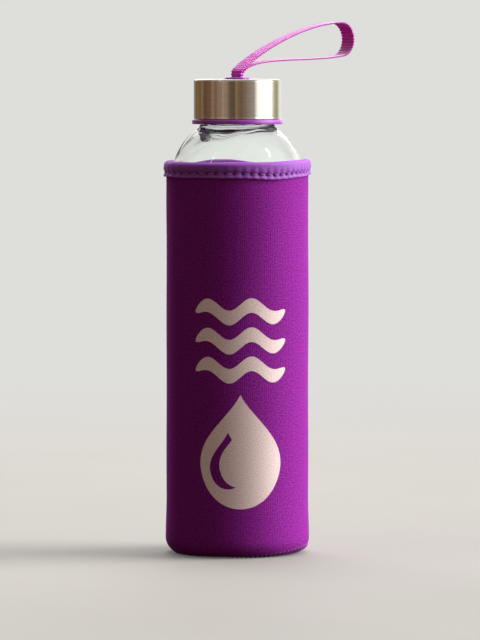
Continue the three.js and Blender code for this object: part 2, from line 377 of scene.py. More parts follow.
def brushedStainless():
    # stainless sheet, drawn and brushed round its axis: fine rings that smear reflections upright
    material, tree, shader = newMaterial("stainless steel, brushed round")
    setShader(shader, Metallic=1.0, Anisotropic=0.85, Anisotropic_Rotation=0.25)
    split, angle = axisAngle(tree, addNode(tree, "TexCoord").outputs["Object"])
    flat = addNode(tree, "CombineXYZ", {"X": split.outputs["X"], "Y": split.outputs["Y"]})
    radius = addNode(tree, "VectorMath", {0: flat}, operation="LENGTH")
    # radius plus height grows up the wall and outwards over the top, so one pattern rings both
    across = addNode(tree, "Math", {0: radius.outputs["Value"], 1: split.outputs["Z"]}, operation="ADD")
    scratchWidth = 0.45 * mm        # real brush marks are finer; this is what still shows
    lines = addNode(tree, "Math", {0: across, 1: 1 / scratchWidth}, operation="MULTIPLY")
    run = addNode(tree, "Math", {0: angle, 1: 2.2}, operation="MULTIPLY")
    marks = addNode(tree, "CombineXYZ", {"X": lines, "Y": run})
    noise = addNode(tree, "TexNoise", {"Scale": 1.0, "Detail": 5.0, "Roughness": 0.7, "Vector": marks})
    surfaceFrom(tree, shader, noise, [(0.25, "#C3BEB7"), (0.75, "#DEDAD4")],
                rough=(0.12, 0.22), relief=(0.12, 0.02 * mm))
    tangent = addNode(tree, "Tangent", direction_type="RADIAL", axis="Z")
    tree.links.new(tangent.outputs[0], shader.inputs["Tangent"])
    return material


def mouldedPolypropylene():
    # injection-moulded polypropylene: glossy, faintly mottled, with a fine moulded grain
    material, tree, shader = newMaterial("polypropylene, moulded purple")
    setShader(shader, IOR=1.49, Specular_IOR_Level=1.0)
    place = addNode(tree, "TexCoord").outputs["Object"]
    cloud = addNode(tree, "TexNoise", {"Scale": 1 / (6 * mm), "Detail": 3.0, "Vector": place})
    grain = addNode(tree, "TexNoise", {"Scale": 1 / (0.35 * mm), "Detail": 2.0, "Vector": place})
    surfaceFrom(tree, shader, cloud, [(0.3, "#9432AE"), (0.7, "#A644C2")],
                rough=(0.2, 0.3), relief=(0.15, 0.03 * mm), raised=grain)
    return material


def siliconeRubber():
    # moulded silicone: milky, dull and slightly see-through
    material, tree, shader = newMaterial("silicone rubber, milky")
    setShader(shader, IOR=1.41, Subsurface_Weight=0.3, Subsurface_Scale=2 * mm)
    place = addNode(tree, "TexCoord").outputs["Object"]
    cloud = addNode(tree, "TexNoise", {"Scale": 1 / (2 * mm), "Detail": 2.0, "Vector": place})
    surfaceFrom(tree, shader, cloud, [(0.3, "#D6D3CC"), (0.7, "#E2E0DB")], rough=(0.42, 0.52))
    return material


def drawnSteelWire():
    # cold-drawn steel rod: bright, with lines along it
    material, tree, shader = newMaterial("steel rod, cold drawn")
    setShader(shader, Metallic=1.0)
    place = addNode(tree, "TexCoord").outputs["Object"]
    streak = addNode(tree, "TexNoise", {"Scale": 1 / (0.3 * mm), "Detail": 3.0, "Vector": place})
    surfaceFrom(tree, shader, streak, [(0.3, "#A4A3A2"), (0.7, "#BDBCBB")], rough=(0.22, 0.36))
    return material


def neopreneJersey(name, dark, light, radius):
    # foam neoprene faced with fine nylon jersey: matt, with a soft sheen at grazing angles
    material, tree, shader = newMaterial(name)
    setShader(shader, Sheen_Weight=0.32, Sheen_Roughness=0.28, Sheen_Tint=linear("#DC84E4"),
              Specular_IOR_Level=0.12, Roughness=0.85)
    # the loops are finer on the real jersey; these still show
    knit, _ = fuzzyKnit(tree, roundTheAxis(tree, radius), wale=1.0, course=0.8,
                        fuzzSize=0.8, fuzzShare=0.84, detail=3.0, roughness=0.75)
    surfaceFrom(tree, shader, knit, [(0.38, dark), (0.62, light)], relief=(0.35, 0.12 * mm))
    return material


def lycraTape():
    # elastane binding tape: smoother and bluer than the jersey, with fine ribs along its length
    material, tree, shader = newMaterial("lycra binding tape")
    setShader(shader, Sheen_Weight=0.5, Sheen_Roughness=0.45, Sheen_Tint=linear("#C898EC"),
              Specular_IOR_Level=0.3, Roughness=0.62, Subsurface_Weight=0.5, Subsurface_Scale=6 * mm,
              Subsurface_Radius=(1.0, 0.5, 1.0))
    knit, _ = fuzzyKnit(tree, roundTheAxis(tree, roundRadius("sleeve_binding")), wale=0.8, course=0.55,
                        fuzzSize=0.8, fuzzShare=0.75, detail=4.0, roughness=0.7)
    tone = surfaceFrom(tree, shader, knit, [(0.35, "#7A3AA0"), (0.65, "#A65AC4")], relief=(0.35, 0.1 * mm))
    # painted shade: the colour goes nearly black in the needle holes, standing in for the shadow inside them
    holeShadeMask = addNode(tree, "Attribute", attribute_name="needleHoleShade")
    holeShaded = addNode(tree, "Mix", {"B": linear("#1C0628"), "Factor": holeShadeMask.outputs["Fac"], "A": tone},
                      data_type="RGBA")
    tree.links.new(holeShaded.outputs["Result"], shader.inputs["Base Color"])
    return material


def grosgrainRibbon():
    # woven polyester ribbon: glossy warp threads over thick ribs, so lit faces go pale pink
    material, tree, shader = newMaterial("grosgrain ribbon, polyester")
    setShader(shader, Sheen_Weight=0.8, Sheen_Roughness=0.3, Sheen_Tint=linear("#FFECFC"),
              Specular_IOR_Level=1.0, Roughness=0.36, Subsurface_Weight=0.4, Subsurface_Scale=1.2 * mm,
              Subsurface_Radius=(1.0, 0.15, 0.8))
    uv = addNode(tree, "TexCoord").outputs["UV"]
    split = addNode(tree, "SeparateXYZ", {0: uv})
    warpPitch = 0.35                # millimetres between warp threads across the ribbon
    across = addNode(tree, "Math", {0: split.outputs["Y"], 1: 2 * math.pi / warpPitch},
                     operation="MULTIPLY")
    warp = addNode(tree, "Math", {0: across}, operation="COSINE")
    height = addNode(tree, "MapRange", {"From Min": -1, "Value": warp})
    fuzz = addNode(tree, "TexNoise", {"Scale": 1 / 0.7, "Detail": 3.0, "Vector": uv})
    weave = addNode(tree, "Mix", {"Factor": 0.5, "A": height, "B": fuzz}, data_type="FLOAT")
    surfaceFrom(tree, shader, weave, [(0.2, "#B004A2"), (0.8, "#E222D8")],
                relief=(0.4, 0.06 * mm))
    return material


def sewingThread(name, dark, light):
    # twisted polyester thread: a slanting two-ply line along each stitch
    material, tree, shader = newMaterial(name)
    setShader(shader, Sheen_Weight=0.3, Sheen_Roughness=0.3, Sheen_Tint=linear("#E8A0F0"),
              Specular_IOR_Level=0.4, Roughness=0.55)
    place = addNode(tree, "TexCoord").outputs["Object"]
    ply = addNode(tree, "TexWave", {"Scale": 1 / (0.6 * mm), "Distortion": 1.0, "Vector": place},
                  bands_direction="DIAGONAL")
    surfaceFrom(tree, shader, ply, [(0.2, dark), (0.8, light)], relief=(0.4, 0.05 * mm))
    return material


def champagneInk(radius):
    # metallic screen-print ink: fine flakes in a clear binder, lying over the jersey's loops
    material, tree, shader = newMaterial("screen print ink, champagne")
    setShader(shader, Metallic=1.0)
    knit, flakes = fuzzyKnit(tree, roundTheAxis(tree, radius), wale=0.9, course=0.7,
                             fuzzSize=0.45, fuzzShare=0.5, detail=4.0, roughness=0.7)
    surfaceFrom(tree, shader, flakes, [(0.34, "#CCB8B6"), (0.66, "#FAEEEE")],
                rough=(0.76, 0.88), relief=(0.3, 0.08 * mm), raised=knit)
    return material


def finishPiece(piece, material, body, slot, *nodes):
    piece.data.materials.clear()
    piece.data.materials.append(material)
    if body is not None:
        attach(piece, body)
    if nodes:
        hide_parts(*nodes)
    print("made", piece.name, len(piece.data.polygons), "faces")


# ---- Glass bottle ----

bottle = {
    "sides": 128,
    "wall": 2.0 * mm,
    "base": 4.0 * mm,
    "pushUp": 2.2 * mm,
    "heel": 5.3 * mm,
    "shoulderStart": 182 * mm,
    "shoulder": 30 * mm,
    "neck": 17.2 * mm,
    "bore": 14.7 * mm,
    "bead": 18.5 * mm,
    "beadHigh": 208.3 * mm,
    "lipRound": 1.1 * mm,
    "creaseHeight": 205.2 * mm,
    "creaseTilt": 0.07,             # the blown inside corner sits higher on the right
    "unevenness": 0.16 * mm,        # how far the blown inner wall wanders under the neck
    "threadPitch": 4.2 * mm,
    "threadTurns": 1.6,
    "threadStart": 212.4 * mm,
    "threadCrest": 18.6 * mm,
}


def threadCoil(name, root, crest, start, turns, halfWidth, phase):
    # a rounded ridge section swept up a helix by the Screw modifier, thinned away at both ends
    steps, points = 96, 12          # round one turn, and round the section
    deselect()
    bpy.ops.mesh.primitive_circle_add(vertices=points, radius=1, rotation=(math.pi / 2, 0, 0))
    coil = bpy.context.object
    coil.name = name
    bpy.ops.object.transform_apply(rotation=True)
    bpy.ops.object.mode_set(mode="EDIT")
    bpy.ops.mesh.select_all(action="SELECT")
    bpy.ops.transform.resize(value=(abs(crest - root), 1, halfWidth))
    bpy.ops.transform.translate(value=(root, 0, 0))
    bpy.ops.object.mode_set(mode="OBJECT")
    # whole turns only, so the helix is made at one turn and its angle is stretched below
    applyModifier(coil, "SCREW", angle=2 * math.pi, screw_offset=bottle["threadPitch"],
                  steps=steps, iterations=1, axis="Z", use_merge_vertices=False)
    co = places(coil)
    share = np.arange(len(co)) // points / steps        # 0 at one end of the thread, 1 at the other
    radius = np.hypot(co[:, 0], co[:, 1])
    height = co[:, 2] - share * bottle["threadPitch"]
    fade = ease(np.clip(np.minimum(share, 1 - share) * turns * 6, 0.02, 1))
    radius = root + (radius - root) * fade
    turned = phase + share * turns * 2 * math.pi
    height = start + share * turns * bottle["threadPitch"] + height * (0.4 + 0.6 * fade)
    moveTo(coil, np.stack([radius * np.cos(turned), radius * np.sin(turned), height], 1))
    pick(coil)
    bpy.ops.object.mode_set(mode="EDIT")
    bpy.ops.mesh.select_mode(type="EDGE")
    bpy.ops.mesh.select_all(action="DESELECT")
    bpy.ops.mesh.select_non_manifold()
    bpy.ops.mesh.edge_face_add()
    bpy.ops.mesh.select_all(action="SELECT")
    bpy.ops.mesh.normals_make_consistent(inside=False)
    bpy.ops.mesh.select_mode(type="VERT")
    bpy.ops.object.mode_set(mode="OBJECT")
    return coil


def makeBottle():
    b = bottle
    low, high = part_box("glass_bottle")
    outer = roundRadius("glass_bottle")
    centre = outer - b["shoulder"]
    crease = math.degrees(math.acos((b["bead"] - 0.2 * mm - centre) / b["shoulder"]))
    inner = b["shoulder"] - b["wall"]
    # the inside is drawn flatter than the outside, so the glass thickens towards the neck
    creaseRadius = b["bore"] + 1.0 * mm
    cosine = (creaseRadius - centre) / inner
    insideEnd = math.degrees(math.acos(cosine))
    rise = (b["creaseHeight"] - b["shoulderStart"]) / math.sqrt(1 - cosine * cosine)
    floor = low.z + b["base"]
    domeRadius = outer - b["heel"] - 2.5 * mm
    rings = [(domeRadius * s, low.z + b["pushUp"] * (1 - s * s) ** 1.3) for s in (0.25, 0.5, 0.7, 0.85, 0.95)]
    rings += arcRings(outer - b["heel"], low.z + b["heel"], b["heel"], b["heel"], -100, 0, 14)
    rings += straightRings((outer, 14 * mm), (outer, b["shoulderStart"] - 4 * mm), 10)
    rings += arcRings(centre, b["shoulderStart"], b["shoulder"], b["shoulder"], 0, crease, 26)
    rings += arcRings(b["bead"] - 0.9 * mm, b["beadHigh"] - 1.0 * mm, 0.9 * mm, 0.95 * mm, -35, 80, 7)
    rings += arcRings(b["neck"] + 0.5 * mm, b["beadHigh"] + 0.9 * mm, 0.5 * mm, 0.6 * mm, -90, -180, 3)
    rings += straightRings((b["neck"], b["beadHigh"] + 1.6 * mm), (b["neck"], high.z - 1.6 * mm), 8)
    rings += corner(b["neck"], high.z, b["lipRound"], 0, 6)
    rings += corner(b["bore"], high.z, 0.7 * mm, 90, 4)
    rings += straightRings((b["bore"], high.z - 2 * mm), (b["bore"], b["creaseHeight"] + 2 * mm), 8)
    rings += near(b["bore"], b["creaseHeight"], (0.15, 1.1), (0.5, 0.4))
    rings += arcRings(centre, b["shoulderStart"], inner, rise, insideEnd, 0, 26)
    rings += straightRings((outer - b["wall"], b["shoulderStart"] - 4 * mm), (outer - b["wall"], 18 * mm), 10)
    rings += arcRings(outer - b["wall"] - b["heel"], floor + b["heel"], b["heel"], b["heel"], 0, -85, 10)
    rings += [(20 * mm, floor + 0.25 * mm), (13 * mm, floor + 0.9 * mm), (6 * mm, floor + 1.5 * mm)]
    piece = drawRings("bottle_glass", rings, b["sides"],
                      firstPole=low.z + b["pushUp"], lastPole=floor + 1.7 * mm)
    co = places(piece)
    radius, angle = roundUp(co)
    z = co[:, 2] / mm
    shell = np.hypot((radius - centre) / b["shoulder"], (co[:, 2] - b["shoulderStart"]) / b["shoulder"])
    within = (z > b["shoulderStart"] / mm) & (z < 212) & (shell < 0.97) & (radius > 5 * mm)
    swell = ramp(z, 186, 198) * ramp(z, 212, 206)
    wander = (np.sin(2 * angle + z / 7) + 0.8 * np.sin(5 * angle - z / 4 + 2) + 0.5 * np.sin(9 * angle + 1))
    pushOut(co, np.maximum(radius, 1 * mm), np.where(within, b["unevenness"] * wander * swell, 0))
    inside = (shell < 0.97) | (radius < b["neck"] - 1 * mm)
    lean = ramp(z, 192, 202) * ramp(z, 213, 208)
    co[:, 2] += np.where(inside, b["creaseTilt"] * co[:, 0] * lean, 0)
    moveTo(piece, co)
    coil = threadCoil("thread", b["neck"] - 0.5 * mm, b["threadCrest"], b["threadStart"],
                      b["threadTurns"], 1.15 * mm, 0)
    boolean(piece, coil, "UNION")
    smooth(piece, 40)
    finishPiece(piece, borosilicateGlass(), "bottle", "glass", "glass_bottle")


# ---- Cap ----

cap = {
    "sides": 160,
    "coverWall": 0.4 * mm,
    "edgeRound": 1.0 * mm,
    "holeRadius": 5.4 * mm,
    "linerRadius": 20.5 * mm,
    "linerBore": 18.95 * mm,
    "flangeHeight": 1.9 * mm,
    "plate": 1.5 * mm,
    "coverDrop": 0.4 * mm,          # the steel reaches down close to the flange
    "flangeDrop": 0.7 * mm,
    "threadCrest": 17.9 * mm,
    "threadTurns": 1.25,
    "threadStart": 212.0 * mm,
}


def makeCover():
    low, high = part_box("cap_cover")
    low.z -= cap["coverDrop"]
    outer = roundRadius("cap_cover")
    wall, edge = cap["coverWall"], cap["edgeRound"]
    hole = cap["holeRadius"]
    rings = [(outer - wall, low.z)]
    rings += near(outer, low.z, (-0.1, -0.02), (0.03, 0.12), (0.03, 0.45), (0, 0.7))
    rings += straightRings((outer, low.z + 1.2 * mm), (outer, high.z - edge - 0.5 * mm), 8)
    rings += corner(outer, high.z, edge, 0, 9)
    rings += straightRings((outer - 2 * edge, high.z), (hole + 1.5 * mm, high.z), 6)
    rings += near(hole, high.z, (0.3, 0), (0, -0.08))
    rings += [(hole, high.z - wall), (outer - 2 * edge, high.z - wall)]
    rings += arcRings(outer - edge, high.z - edge, edge - wall, edge - wall, 90, 0, 6)
    rings += [(outer - wall, low.z + 6 * mm), (outer - wall, low.z)]
    piece = drawRings("cap_steel_cover", rings, cap["sides"], closed=True)
    smooth(piece, 40)
    finishPiece(piece, brushedStainless(), "cap", "brushed_steel", "cap_cover")


def makeLiner(plastic):
    low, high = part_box("cap_liner")
    flangeHigh = low.z + cap["flangeHeight"] - cap["coverDrop"]
    low.z -= cap["flangeDrop"]
    outer = roundRadius("cap_liner")
    body, bore = cap["linerRadius"], cap["linerBore"]
    plateLow = high.z - cap["plate"]
    rings = near(bore, plateLow, (-1, 0), (-0.2, 0), (0, -0.2))
    rings += straightRings((bore, plateLow - 1 * mm), (bore, low.z + 0.8 * mm), 6)
    rings += corner(bore, low.z, 0.5 * mm, 180, 4)
    rings += corner(outer, low.z, 0.4 * mm, -90, 5)
    rings += corner(outer, flangeHigh, 0.5 * mm, 0, 5)
    rings += near(body, flangeHigh, (0.3, 0), (0.05, 0.05), (0, 0.4)) + [(body, high.z - 1 * mm)]
    rings += corner(body, high.z, 0.6 * mm, 0, 4)
    rings += [(12 * mm, high.z), (4 * mm, high.z)]
    piece = drawRings("cap_plastic_liner", rings, cap["sides"], firstPole=plateLow, lastPole=high.z)
    coil = threadCoil("linerThread", bore + 0.4 * mm, cap["threadCrest"], cap["threadStart"],
                      cap["threadTurns"], 0.85 * mm, math.pi)
    boolean(piece, coil, "UNION")
    smooth(piece, 40)
    finishPiece(piece, plastic, "cap", "cap_plastic", "cap_liner")


def makeSeal():
    low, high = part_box("cap_seal")
    outer = roundRadius("cap_seal")
    inner = bottle["bore"]
    middle, edge = (low.z + high.z) / 2, 0.35 * mm
    rings = [(inner + edge, low.z)]
    for share in (0.3, 0.7):        # two raised beads that press on the lip
        place = inner + (outer - inner) * share
        rings += near(place, low.z, (-0.35, 0), (0, -0.08), (0.35, 0))
    rings += corner(outer, low.z, edge, -90, 4)
    rings += corner(outer, high.z, edge, 0, 4)
    rings += corner(inner, high.z, edge, 90, 4)
    rings += [(inner, middle)]
    rings += corner(inner, low.z, edge, 180, 4)
    piece = drawRings("cap_silicone_seal", rings, 96, closed=True)
    smooth(piece, 50)
    finishPiece(piece, siliconeRubber(), "seal", "silicone", "cap_seal")


# ---- Ribbon strap and grommet ----

strap = {
    "heading": math.pi / 4,
    "width": 9.0 * mm,
    "thickness": 0.75 * mm,
    "ribPitch": 1.5 * mm,
    "ribCuts": 11,                  # cuts each way through a rib's faces
    "ribDepth": 0.45,               # share of the thickness lost between ribs
    "scallop": 0.1,                 # share of the width lost between ribs
    "gathered": 0.81,               # the ribbon is squeezed narrower in the grommet's slot,
    "curled": 0.88,                 # and its edges curl in a little along the straight runs
    "legSpacing": 0.5 * mm,
    "pinHeight": 227 * mm,
    "pinRadius": 0.9 * mm,
    "slotLow": 228.8 * mm,
    "rootTop": 231.9 * mm,
    "foldHeight": 233.1 * mm,
    "reach": 77.7 * mm,
    "top": 257.8 * mm,
    "turnRadius": 8.3 * mm,
}


grommet = {
    "barrel": 5.2 * mm,
    "flange": 6.2 * mm,
    "flangeThickness": 0.8 * mm,
    "slot": (2.9 * mm, 8.9 * mm, 12 * mm),
    "slotRound": 0.6 * mm,
    "edgeRound": 0.12 * mm,
}


def makeGrommet(plastic):
    low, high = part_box("strap_grommet")
    barrel, flange = grommet["barrel"], grommet["flange"]
    flangeLow = high.z - grommet["flangeThickness"]
    rings = [(barrel - 0.3 * mm, low.z), (barrel, low.z + 0.3 * mm), (barrel, flangeLow)]
    rings += corner(flange, flangeLow, 0.2 * mm, -90, 3)
    rings += corner(flange, high.z, 0.45 * mm, 0, 5)
    rings += [(4.9 * mm, high.z), (2.4 * mm, high.z)]
    piece = drawRings("strap_grommet_disc", rings, 96, firstPole=low.z, lastPole=high.z)
    deselect()
    bpy.ops.mesh.primitive_cube_add(size=1, location=(0, 0, high.z))
    slot = bpy.context.object
    slot.scale = grommet["slot"]
    slot.rotation_euler = (0, 0, strap["heading"])
    settle(slot)
    applyModifier(slot, "BEVEL", width=grommet["slotRound"], segments=4, limit_method="ANGLE")
    boolean(piece, slot, "DIFFERENCE")
    applyModifier(piece, "BEVEL", width=grommet["edgeRound"], segments=2, limit_method="ANGLE",
                  angle_limit=math.radians(60))
    smooth(piece, 35)
    finishPiece(piece, plastic, "cap", "cap_plastic", "strap_grommet")


def cubic(p0, p1, p2, p3, count):
    t = np.linspace(0, 1, count, endpoint=False)[:, None]
    p0, p1, p2, p3 = (np.array(p, float) for p in (p0, p1, p2, p3))
    return (1 - t) ** 3 * p0 + 3 * (1 - t) ** 2 * t * p1 + 3 * (1 - t) * t * t * p2 + t ** 3 * p3


def ribbonPath():
    # the ribbon's middle line as (reach, height), once round: pin, leg, lower strand, turn,
    # upper strand, leg
    s = strap
    bend = s["pinRadius"] + 0.25 * mm + s["thickness"] / 2
    quarter = 0.5523                # handle length of a quarter circle of radius 1
    pull, swing = bend * quarter, s["turnRadius"] * quarter
    leg, pin, slot, rise = s["legSpacing"], s["pinHeight"], s["slotLow"], s["rootTop"]
    turn = s["reach"] - s["turnRadius"]
    top, low = s["top"], s["top"] - 2 * s["turnRadius"]
    side = top - s["turnRadius"]
    foldUp = (0.5 * mm, s["foldHeight"] + 1.8 * mm)
    foldLow = (1.6 * mm, s["foldHeight"] + 1.0 * mm)
    parts = [
        cubic((0, pin - bend), (pull, pin - bend), (bend, pin - pull), (bend, pin), 24),
        cubic((bend, pin), (bend, pin + pull), (leg, slot - pull), (leg, slot), 24),
        cubic((leg, slot), (leg, slot + 1 * mm), (leg, rise - 1 * mm), (leg, rise), 30),
        cubic((leg, rise), (leg, rise + 0.9 * mm), (leg + 0.3 * mm, rise + 1.4 * mm), foldLow, 30),
        cubic(foldLow, (10.5 * mm, 242 * mm), (48 * mm, 238.1 * mm), (turn, low), 200),
        cubic((turn, low), (turn + swing, low), (s["reach"], side - swing), (s["reach"], side), 60),
        cubic((s["reach"], side), (s["reach"], side + swing), (turn + swing, top), (turn, top), 60),
        cubic((turn, top), (48 * mm, top - 0.6 * mm), (17 * mm, 246.2 * mm), foldUp, 200),
        cubic(foldUp, (-0.3 * mm, rise + 2.4 * mm), (-leg, rise + 1.3 * mm), (-leg, rise), 30),
        cubic((-leg, rise), (-leg, rise - 1 * mm), (-leg, slot + 1 * mm), (-leg, slot), 30),
        cubic((-leg, slot), (-leg, slot - pull), (-bend, pin + pull), (-bend, pin), 24),
        cubic((-bend, pin), (-bend, pin - pull), (-pull, pin - bend), (0, pin - bend), 24),
    ]
    path = np.concatenate(parts)
    return np.concatenate([path, path[:1]])


def makeRibbon():
    s = strap
    path = ribbonPath()
    along = np.concatenate([[0], np.cumsum(np.hypot(*np.diff(path, axis=0).T))])
    length = along[-1]
    count = round(length / s["ribPitch"])
    pitch = length / count
    print(f"ribbon is {length / mm:.1f} mm round the loop, {count} ribs")
    # one rib: a flat bar, cut into small faces and rounded over
    deselect()
    bpy.ops.mesh.primitive_cube_add(size=1, location=(pitch / 2, 0, 0))
    rib = bpy.context.object
    rib.scale = (pitch, s["width"], s["thickness"])
    settle(rib)
    selectWhere(rib, "FACE", lambda face: abs(face.normal.x) > 0.5)
    bpy.ops.mesh.delete(type="ONLY_FACE")
    bpy.ops.mesh.select_mode(type="EDGE")
    bpy.ops.mesh.select_all(action="SELECT")
    bpy.ops.mesh.subdivide(number_cuts=s["ribCuts"])
    bpy.ops.object.mode_set(mode="OBJECT")
    co = places(rib)
    wave = 0.5 - 0.5 * np.cos(2 * math.pi * co[:, 0] / pitch)     # 0 between ribs, 1 on a rib
    co[:, 2] *= 1 - s["ribDepth"] * (1 - wave)
    edge = np.abs(co[:, 1]) > s["width"] * 0.49
    co[:, 1] *= np.where(edge, 1 - s["scallop"] * (1 - wave), 1)
    co[:, 1] *= np.where(edge & (np.abs(co[:, 2]) > 0.1 * mm), 0.975, 1)
    moveTo(rib, co)
    applyModifier(rib, "ARRAY", count=count, use_relative_offset=False, use_constant_offset=True,
                  constant_offset_displace=(pitch, 0, 0), use_merge_vertices=True,
                  merge_threshold=0.01 * mm)
    rib.name = rib.data.name = "carry_ribbon"
    # lay the flat ribbon along its path, and keep its flat place as the weave's pattern space
    flat = places(rib)
    here, ahead, behind = (
        np.stack([np.interp(flat[:, 0] + step, along, path[:, i], period=length) for i in (0, 1)], 1)
        for step in (0, 0.15 * mm, -0.15 * mm))
    x, z = here.T
    tangent = ahead - behind
    tangent /= np.linalg.norm(tangent, axis=1)[:, None]
    spread = ramp(z, s["rootTop"], s["rootTop"] + 9 * mm)
    narrow = s["gathered"] + (s["curled"] - s["gathered"]) * ease(spread)
    opened = ramp(x, s["reach"] - 3 * s["turnRadius"], s["reach"] - s["turnRadius"])
    narrow += (1 - s["curled"]) * ease(opened)
    # a hand-bent ribbon is never quite even, so it tilts a little from side to side as it goes
    tilt = 0.05 * np.sin(flat[:, 0] / (17 * mm)) * spread
    wide = flat[:, 1] * narrow
    lift = flat[:, 2] + wide * tilt
    reach = x - tangent[:, 1] * lift
    height = z + tangent[:, 0] * lift
    c, t = math.cos(s["heading"]), math.sin(s["heading"])
    moveTo(rib, np.stack([reach * c - wide * t, reach * t + wide * c, height], 1))
    while rib.data.uv_layers:
        rib.data.uv_layers.remove(rib.data.uv_layers[0])
    layer = rib.data.uv_layers.new(name="weave")
    corners = np.empty(len(rib.data.loops), np.int32)
    rib.data.loops.foreach_get("vertex_index", corners)
    layer.data.foreach_set("uv", (flat[corners][:, :2] / mm).ravel())
    closeUp(rib, 0.02 * mm)
    smooth(rib, 60)
    finishPiece(rib, grosgrainRibbon(), None, "webbing", "carry_strap", "strap_root")
    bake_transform(rib)


def dressHiddenFastenings(plastic):
    # the lock ring and the pin are closed up inside the cap and keep their plain shapes
    for node, material in (("grommet_lock_ring", plastic), ("strap_anchor_pin", drawnSteelWire())):
        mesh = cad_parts[node].data
        mesh.materials.clear()
        mesh.materials.append(material)


# ---- Sleeve ----

sleeve = {
    "sides": 160,
    "thickness": 2.2 * mm,
    "cornerR": 6.9 * mm,
    "cornerZ": 7.5 * mm,
    "bulge": 0.45 * mm,             # the turned-in bottom edge stands out a little
    "seamRadius": 26.9 * mm,
    "seamRise": 0.75 * mm,          # the stitching pulls the seam up off the table
    "pinched": 33.05 * mm,
    "wobble": 0.1 * mm,
    "stitches": 52,
    "crowding": 0.25,               # how much closer the stitches are on the right
    "stitchHeight": 185.1 * mm,
    "threadRadius": 0.3 * mm,
    "baseBars": 84,                 # overlocked bars of thread round the base seam
    "baseBarLength": 4.2 * mm,
    "baseThreadRadius": 0.32 * mm,
    "baseBarTilt": -76,             # degrees round the bottom corner that the bars lie at,
    "baseBarWander": 40,            # and how far up it they wander,
    "baseBarSide": 78,              # most at this angle from the front
    "zigzagStep": 2.1 * mm,
    "zigzagWidth": 3.5 * mm,
    "zigzagLength": 4.1 * mm,
    "zigzagThreadRadius": 0.22 * mm,
}


def makePanel(jersey):
    s = sleeve
    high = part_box("sleeve_panel")[1]
    outer = roundRadius("sleeve_panel")
    inner = outer - s["thickness"]
    bottom = outer + s["bulge"]
    centre, lift = bottom - s["cornerR"], s["cornerZ"] + 0.15 * mm
    seam, rise = s["seamRadius"], s["seamRise"]
    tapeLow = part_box("sleeve_binding")[0].z
    rings = [(seam, rise + 0.35 * mm), (seam + 0.25 * mm, rise), (seam + 1.0 * mm, 0.35 * mm)]
    rings += arcRings(centre, lift, s["cornerR"], s["cornerZ"], -72, 0, 14)
    rings += near(bottom, 0, (-0.04, 12), (-0.18, 16)) + near(outer, 0, (0.1, 21))
    rings += straightRings((outer, 26 * mm), (outer, tapeLow - 2 * mm), 54)
    rings += near(outer, tapeLow, (0, 0), (-0.12, 1)) + near(outer, high.z, (-0.1, -0.3), (-0.4, 0))
    rings += near(s["pinched"], high.z, (0.3, 0), (0, -0.3))
    rings += [(s["pinched"], tapeLow + 1 * mm), (inner, tapeLow - 0.4 * mm)]
    rings += straightRings((inner, tapeLow - 4 * mm), (inner, 14 * mm), 20)
    rings += arcRings(outer - 7.5 * mm, 7.5 * mm, 5.3 * mm, 5.3 * mm, 0, -86, 8)
    rings += [(seam + 0.2 * mm, s["thickness"]), (seam, s["thickness"] - 0.2 * mm),
              (seam, rise + 0.35 * mm)]
    piece = drawRings("sleeve_neoprene", rings, s["sides"], closed=True)
    co = places(piece)
    radius, angle = roundUp(co)
    z = co[:, 2] / mm
    out = radius > outer - 0.6 * mm
    fade = ramp(z, 14, 34) * ramp(z, 176, 164)
    wave = (np.sin(3 * angle + z / 31) + 0.7 * np.sin(5 * angle - z / 19 + 1.3)
            + 0.6 * np.sin(2 * angle + z / 11 + 0.4))
    shift = np.where(out, s["wobble"] * wave * fade, 0)
    # the butt seam down the back: the two edges meet in a shallow valley
    back = np.abs(((angle + 2 * math.pi) % (2 * math.pi)) - math.pi) * outer
    valley = hump(back, 0.8 * mm) * ramp(z, 9, 11) * ramp(z, 183, 181)
    shift -= np.where(out, 0.4 * mm * valley, 0)
    pushOut(co, radius, shift)
    moveTo(piece, co)
    smooth(piece, 50)
    finishPiece(piece, jersey, "sleeve", "neoprene", "sleeve_panel")
    return piece


def makeBase(jersey):
    s = sleeve
    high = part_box("sleeve_base")[1]
    edge = s["seamRadius"] - 0.35 * mm
    rings = [(8 * mm, 0), (16 * mm, 0), (22 * mm, 0), (24.6 * mm, 0.02 * mm), (25.6 * mm, 0.2 * mm),
             (edge - 0.3 * mm, 0.55 * mm), (edge, 0.9 * mm), (edge, high.z - 0.3 * mm),
             (edge - 0.3 * mm, high.z), (16 * mm, high.z), (8 * mm, high.z)]
    piece = drawRings("sleeve_base_disc", rings, 128, firstPole=0, lastPole=high.z)
    smooth(piece, 40)
    finishPiece(piece, jersey, "sleeve", "neoprene", "sleeve_base")


def needleShare(angle):
    # how many stitches along the tape an angle is, from the front; they are closer on one side
    return sleeve["stitches"] / (2 * math.pi) * (angle - sleeve["crowding"] * np.cos(angle))


def tapeDip(angle):
    # the lower edge hangs lowest to the right of the front and climbs at the right side
    near = hump(angle - math.radians(28), math.radians(22))
    side = hump(angle - math.radians(82), math.radians(26))
    return (-0.7 * near + 0.9 * side + 0.1 * np.sin(4 * angle + 1) + 0.07 * np.sin(9 * angle)) * mm


def tapeRise(angle):
    # the top edge climbs on the right, and stands up at the back, a little to the left
    side = hump(angle - math.radians(80), math.radians(34))
    back = hump((angle - math.radians(10)) % (2 * math.pi) - math.pi, math.radians(24))
    return (1.1 * side + 1.7 * back + 0.1 * np.sin(3 * angle) + 0.07 * np.sin(7 * angle + 2)) * mm


